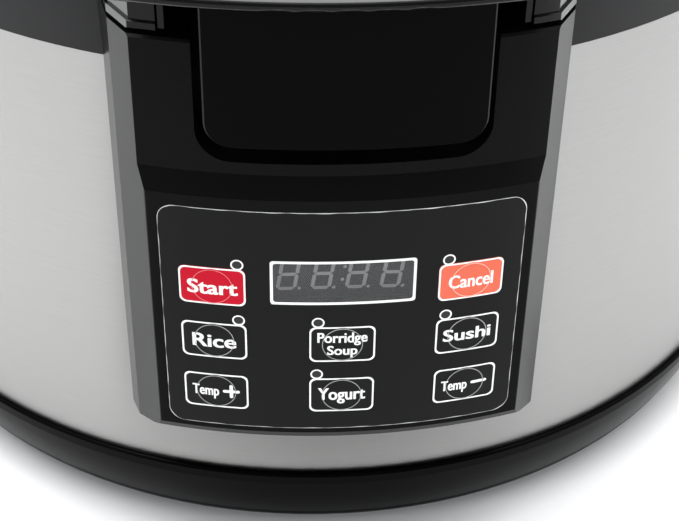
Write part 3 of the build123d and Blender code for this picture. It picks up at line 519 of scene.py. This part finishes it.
# lettering: half depth before it is laid down, edge length on a key, weld distance, capital height at size 1
TEXT_HALF, TEXT_EDGE, TEXT_WELD, CAP_SHARE = 0.01, 0.7, 0.0005, 0.714
TEXT_ROOT = 0.06          # how far lettering reaches into the key's film
COPY_STEP = 0.003         # keeps the tops of overlapping copies apart
BAR_HALF, BAR_ROUND = 0.03, 0.98        # half depth, and end radius as a share of the half width


def key_height(u, v):
    """Height of the pressed film over the pad: a narrow raised ring round a shallow dish."""
    reach = math.hypot(u, v)
    rim = math.exp(-((reach - DOME_R) / RIM_HALF) ** 2) * RIM_H
    dish = DISH * max(0.0, 1 - (reach / DOME_R) ** 2)
    return rim + dish


def key_pad(name, arc, z, finish):
    """Film pad with its embossed ring, rounded at the rim, closed at the back."""
    outline = rounded_outline(KEY_W, KEY_H, KEY_CORNER, step=0.6, turns=6)
    rays = [(u / math.hypot(u, v), v / math.hypot(u, v)) for u, v in outline]
    flat_loops = [[(radius * a, radius * b) for a, b in rays] for radius in DOME_LOOPS]
    last = flat_loops[-1]
    for share in BLEND_LOOPS:
        flat_loops.append([(c + (u - c) * share, d + (v - d) * share)
                           for (c, d), (u, v) in zip(last, outline)])
    loops = [[(u, v, key_height(u, v)) for u, v in loop] for loop in flat_loops]
    for drop in (PAD_EDGE, PAD_BACK):
        loops.append([(u, v, drop) for u, v in outline])
    points = [panel_point(arc, z, KEY_LIFT + key_height(0, 0))]
    for loop in loops:
        points += [panel_point(arc + u, z + v, KEY_LIFT + h) for u, v, h in loop]
    count = len(outline)
    faces = [(0, 1 + i, 1 + (i + 1) % count) for i in range(count)]
    for ring in range(len(loops) - 1):
        a, b = 1 + ring * count, 1 + (ring + 1) * count
        for i in range(count):
            j = (i + 1) % count
            faces.append((a + i, b + i, b + j, a + j))
    faces.append(tuple(1 + (len(loops) - 1) * count + i for i in reversed(range(count))))
    pad = build(name + "_pad", points, faces, finish, name + "_body")
    pad.data.shade_smooth()
    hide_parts(name)


def text_mesh(text, width, cap, growth):
    """Flat lettering of the given width and capital height, its baseline on v = 0, centred on u = 0."""
    curve = bpy.data.curves.new("lettering", "FONT")
    curve.body, curve.size, curve.align_x = text, 1.0, "CENTER"
    curve.extrude, curve.offset, curve.resolution_u = TEXT_HALF, growth, 4
    holder = bpy.data.objects.new("lettering", curve)
    bpy.context.scene.collection.objects.link(holder)
    bpy.context.view_layer.update()
    mesh = bpy.data.meshes.new_from_object(holder.evaluated_get(bpy.context.evaluated_depsgraph_get()))
    bpy.data.objects.remove(holder)
    across = [vertex.co.x for vertex in mesh.vertices]
    middle, scale_u = (min(across) + max(across)) / 2, width / (max(across) - min(across))
    scale_v = cap / (CAP_SHARE + 2 * growth)
    for vertex in mesh.vertices:
        vertex.co.x = (vertex.co.x - middle) * scale_u
        vertex.co.y = (vertex.co.y + growth) * scale_v
    return mesh


def lay_on_key(mesh, arc, z, shift, extra=0.0):
    """Splits long edges, then wraps the shape over the key's film."""
    shape = bmesh.new()
    shape.from_mesh(mesh)
    bmesh.ops.remove_doubles(shape, verts=shape.verts, dist=TEXT_WELD)
    bmesh.ops.triangulate(shape, faces=shape.faces)
    for _ in range(3):
        long_edges = [e for e in shape.edges if e.calc_length() > TEXT_EDGE]
        if long_edges:
            bmesh.ops.subdivide_edges(shape, edges=long_edges, cuts=1)
            bmesh.ops.triangulate(shape, faces=shape.faces)
    for vertex in shape.verts:
        u, v, depth = vertex.co.x + shift[0], vertex.co.y + shift[1], vertex.co.z
        lift = PRINT + extra if depth > 0 else -TEXT_ROOT
        vertex.co = panel_point(arc + u, z + v, KEY_LIFT + key_height(u, v) + lift)
    bmesh.ops.recalc_face_normals(shape, faces=shape.faces)
    shape.to_mesh(mesh)
    shape.free()


def bar_mesh(width, height):
    """Bar with round ends, centred."""
    mesh = bpy.data.meshes.new("bar")
    radius = min(width, height) / 2
    outline = rounded_outline(width, height, radius * BAR_ROUND, step=0.6, turns=6)
    count = len(outline)
    points = [(u, v, side) for side in (-BAR_HALF, BAR_HALF) for u, v in outline]
    faces = [tuple(reversed(range(count))), tuple(range(count, 2 * count))]
    faces += [(i, (i + 1) % count, count + (i + 1) % count, count + i) for i in range(count)]
    mesh.from_pydata(points, [], faces)
    return mesh


def join_printed(name, meshes, body):
    """One printed piece from several meshes."""
    shape = bmesh.new()
    for mesh in meshes:
        shape.from_mesh(mesh)
    made = bpy.data.meshes.new(name)
    shape.to_mesh(made)
    shape.free()
    made.materials.append(FINISH["print"])
    place_piece(name, made, body)


def key_words(name, arc, z):
    """Meshes of the key's words, each laid down three times a little apart for its weight."""
    words = []
    for text, width, cap, across, up, growth, spread in LEGENDS[name]:
        for copy in (-1, 0, 1):
            mesh = text_mesh(text, width - 2 * spread, cap, growth)
            lay_on_key(mesh, arc, z, (across + copy * spread, up - cap / 2), copy * COPY_STEP)
            words.append(mesh)
    return words


def key_signs(name, arc, z):
    """Meshes of the plus or the minus beside the word on the two temperature keys."""
    sizes = {"key_temp_up": [(SIGN_LONG, SIGN_THICK), (SIGN_THICK, SIGN_LONG)],
             "key_temp_down": [(SIGN_LONG, SIGN_THICK)]}
    signs = []
    for width, height in sizes.get(name, []):
        mesh = bar_mesh(width, height)
        lay_on_key(mesh, arc, z, (SIGN_ACROSS, SIGN_UP))
        signs.append(mesh)
    return signs


def make_keys():
    for name, (arc, z, finish, lamp) in KEYS.items():
        key_pad(name, arc, z, finish)
        body = name + "_body"
        frame_line(name + "_outline", KEY_W - OUTLINE_INSET, KEY_H - OUTLINE_INSET, KEY_CORNER, OUTLINE_LINE,
                   (arc, z), KEY_LIFT, body)
        # lighter ring on top of the embossed rim: a painted highlight where the rim catches the light
        ring_line(name + "_rim_painted_highlight", DOME_R + PAINTED_HIGHLIGHT_HALF, DOME_R - PAINTED_HIGHLIGHT_HALF, (arc, z),
                  KEY_LIFT + RIM_H - PAINTED_HIGHLIGHT_SINK, body, PAINTED_RIM_HIGHLIGHTS[finish])
        join_printed(name + "_legend", key_words(name, arc, z) + key_signs(name, arc, z), body)
        if lamp is not None:
            place = (arc + lamp, z + LAMP_RISE)
            ring_line(name + "_lamp_ring", LAMP_OUT, LAMP_IN, place, FILM_R, "body")


# ------------------------------------------------------------------ display and film edge
FRAME_SPARE, FRAME_CORNER, FRAME_LINE = 0.5, 1.1, 0.95
DIGITS, DIGIT_W, DIGIT_H, DIGIT_PITCH = 4, 5.6, 11.6, 11.45
STROKE, STROKE_GAP, LEAN = 1.25, 0.12, 9.0          # lean in degrees
DIGITS_SHIFT, COLON_SHIFT, COLON_RISE = -0.6, -0.2, 2.6
DOT_R, DOT_STEPS, DOT_GAP = 0.6, 12, 1.6
SEGMENT_FRONT, SEGMENT_BACK = -0.12, 0.05
# name: (side, height in digit halves, upright or not)
SEGMENTS = {"a": (0, 1, 0), "g": (0, 0, 0), "d": (0, -1, 0), "f": (-1, 0.5, 1), "b": (1, 0.5, 1),
            "e": (-1, -0.5, 1), "c": (1, -0.5, 1)}


def make_display():
    frame_line("display_frame", DISPLAY_W + FRAME_SPARE, DISPLAY_H + FRAME_SPARE, FRAME_CORNER, FRAME_LINE,
               (0, DISPLAY_Z), FILM_R, "body")
    segment_digits()
    lens_mesh()


def segment_digits():
    """Four unlit seven-segment digits with a colon on the module's flat face, leaning right."""
    face_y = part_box("led_display")[0].y / MM
    lean = math.tan(math.radians(LEAN))
    points, faces = [], []

    def slab(outline, centre):
        start = len(points)
        for depth in (SEGMENT_FRONT, SEGMENT_BACK):
            for u, v in outline:
                x = centre + u + v * lean
                points.append((x * MM, (face_y + depth) * MM, (DISPLAY_Z + v) * MM))
        count = len(outline)
        faces.append(tuple(start + i for i in range(count)))
        faces.append(tuple(start + count + i for i in reversed(range(count))))
        for i in range(count):
            j = (i + 1) % count
            faces.append((start + i, start + count + i, start + count + j, start + j))

    turns = [2 * math.pi * k / DOT_STEPS for k in range(DOT_STEPS)]
    dot = [(DOT_R * math.cos(t), DOT_R * math.sin(t)) for t in turns]
    half = STROKE / 2
    for digit in range(DIGITS):
        centre = (digit - (DIGITS - 1) / 2) * DIGIT_PITCH + DIGITS_SHIFT
        for side, height, upright in SEGMENTS.values():
            cx, cy = side * DIGIT_W / 2, height * DIGIT_H / 2
            length = (DIGIT_H / 2 if upright else DIGIT_W) / 2 - STROKE_GAP
            bar = [(-length, 0), (-length + half, half), (length - half, half), (length, 0),
                   (length - half, -half), (-length + half, -half)]
            if upright:
                bar = [(-b, a) for a, b in bar]
            slab([(cx + a, cy + b) for a, b in bar], centre)
        slab([(DIGIT_W / 2 + DOT_GAP + a, -DIGIT_H / 2 + b) for a, b in dot], centre)
    for height in (-COLON_RISE, COLON_RISE):
        slab([(a + DOT_R, height + b) for a, b in dot], COLON_SHIFT)
    build("display_segments", points, faces, "segment", "body")


# fine mesh on the lens: size of the field, dot spacing on one grid, dot radius
MESH_W, MESH_H, MESH_PITCH, MESH_DOT = 46.6, 16.3, 0.62, 0.115
MESH_DOT_SIDES, MESH_DOT_DEPTH = 6, 0.06
GRID_SHIFTS = (-0.25, 0.25)          # the two grids, moved apart by half a pitch


def lens_mesh():
    """Fine square mesh printed on the lens, one small dot repeated over a curved grid by geometry nodes."""
    tree = bpy.data.node_groups.new("lens_mesh_dots", "GeometryNodeTree")
    sizes = [("Width", MESH_W), ("Height", MESH_H), ("Pitch", MESH_PITCH), ("Dot", MESH_DOT),
             ("Radius", FACE_R + 0.02), ("Centre Height", DISPLAY_Z)]
    settings = {}
    for label, value in sizes:
        socket = tree.interface.new_socket(name=label, in_out="INPUT", socket_type="NodeSocketFloat")
        settings[socket.identifier] = value
    ink = tree.interface.new_socket(name="Ink", in_out="INPUT", socket_type="NodeSocketMaterial")
    settings[ink.identifier] = FINISH["mesh"]
    tree.interface.new_socket(name="Geometry", in_out="OUTPUT", socket_type="NodeSocketGeometry")
    nodes, links = tree.nodes, tree.links
    source, sink = nodes.new("NodeGroupInput"), nodes.new("NodeGroupOutput")
    size = source.outputs

    # two flat grids of points
    both = nodes.new("GeometryNodeJoinGeometry")
    for share in GRID_SHIFTS:
        grid = nodes.new("GeometryNodeMeshGrid")
        for length, side, number in (("Width", "Size X", "Vertices X"), ("Height", "Size Y", "Vertices Y")):
            links.new(size[length], grid.inputs[side])
            steps = math_node(tree, "DIVIDE", size[length], size["Pitch"])
            links.new(math_node(tree, "ROUND", steps), grid.inputs[number])
        offset = nodes.new("ShaderNodeCombineXYZ")
        for axis in "XY":
            links.new(math_node(tree, "MULTIPLY", size["Pitch"], share), offset.inputs[axis])
        shift = nodes.new("GeometryNodeSetPosition")
        links.new(grid.outputs["Mesh"], shift.inputs["Geometry"])
        links.new(offset.outputs[0], shift.inputs["Offset"])
        links.new(shift.outputs["Geometry"], both.inputs[0])

    # one dot on every point
    dot = nodes.new("GeometryNodeMeshCylinder")
    dot.inputs["Vertices"].default_value = MESH_DOT_SIDES
    dot.inputs["Depth"].default_value = MESH_DOT_DEPTH
    links.new(size["Dot"], dot.inputs["Radius"])
    spread = nodes.new("GeometryNodeInstanceOnPoints")
    links.new(both.outputs[0], spread.inputs["Points"])
    links.new(dot.outputs["Mesh"], spread.inputs["Instance"])
    real = nodes.new("GeometryNodeRealizeInstances")
    links.new(spread.outputs[0], real.inputs[0])

    # the field wrapped round the lens, in metres
    split = nodes.new("ShaderNodeSeparateXYZ")
    links.new(nodes.new("GeometryNodeInputPosition").outputs[0], split.inputs[0])
    angle = math_node(tree, "DIVIDE", split.outputs["X"], size["Radius"])
    depth = math_node(tree, "ADD", size["Radius"], split.outputs["Z"])
    height = math_node(tree, "ADD", split.outputs["Y"], size["Centre Height"])
    across = math_node(tree, "MULTIPLY", depth, math_node(tree, "SINE", angle))
    forward = math_node(tree, "MULTIPLY", depth, math_node(tree, "COSINE", angle))
    bent = nodes.new("ShaderNodeCombineXYZ")
    for axis, length, scale in (("X", across, MM), ("Y", forward, -MM), ("Z", height, MM)):
        links.new(math_node(tree, "MULTIPLY", length, scale), bent.inputs[axis])
    wrap = nodes.new("GeometryNodeSetPosition")
    links.new(real.outputs[0], wrap.inputs["Geometry"])
    links.new(bent.outputs[0], wrap.inputs["Position"])
    paint = nodes.new("GeometryNodeSetMaterial")
    links.new(wrap.outputs[0], paint.inputs["Geometry"])
    links.new(size["Ink"], paint.inputs["Material"])
    links.new(paint.outputs[0], sink.inputs[0])

    holder = bpy.data.objects.new("lens_mesh_source", bpy.data.meshes.new("lens_mesh_source"))
    bpy.context.scene.collection.objects.link(holder)
    modifier = holder.modifiers.new("dots", "NODES")
    modifier.node_group = tree
    for identifier, value in settings.items():
        modifier[identifier] = value
    bpy.context.view_layer.update()
    mesh = bpy.data.meshes.new_from_object(holder.evaluated_get(bpy.context.evaluated_depsgraph_get()))
    bpy.data.objects.remove(holder)
    mesh.name = "lens_mesh"
    outward(place_piece("lens_mesh", mesh, "body"))


# the film's cut edge: spare length, corner, the line's mean width, its swing and the swing's two rates
EDGE_SPARE, EDGE_CORNER, EDGE_SINK = 0.12, 5.5, 0.04
EDGE_LINE, EDGE_SWING, EDGE_FAST, EDGE_SLOW = 0.17, 0.13, 0.55, 0.19


def make_film_edge():
    """Cut edge of the film, which shows as a thin uneven pale line."""
    middle = (FILM_LOW + FILM_HIGH) / 2
    outer = rounded_outline(2 * FILM_HALF + EDGE_SPARE, FILM_HIGH - FILM_LOW + EDGE_SPARE, EDGE_CORNER,
                            step=1.0, turns=10)
    inner = []
    for index, (u, v) in enumerate(outer):
        width = EDGE_LINE + EDGE_SWING * math.sin(index * EDGE_FAST) * math.sin(index * EDGE_SLOW + 1.0)
        inner.append((u * (1 - width / FILM_HALF), v * (1 - width / (FILM_HIGH - middle))))
    printed_loop("film_edge_line", outer, inner, (0, middle), FILM_R - EDGE_SINK, "body", "film_edge")


# ------------------------------------------------------------------ build
make_camera()
make_studio()
dress_nodes()
make_keys()
make_display()
make_film_edge()
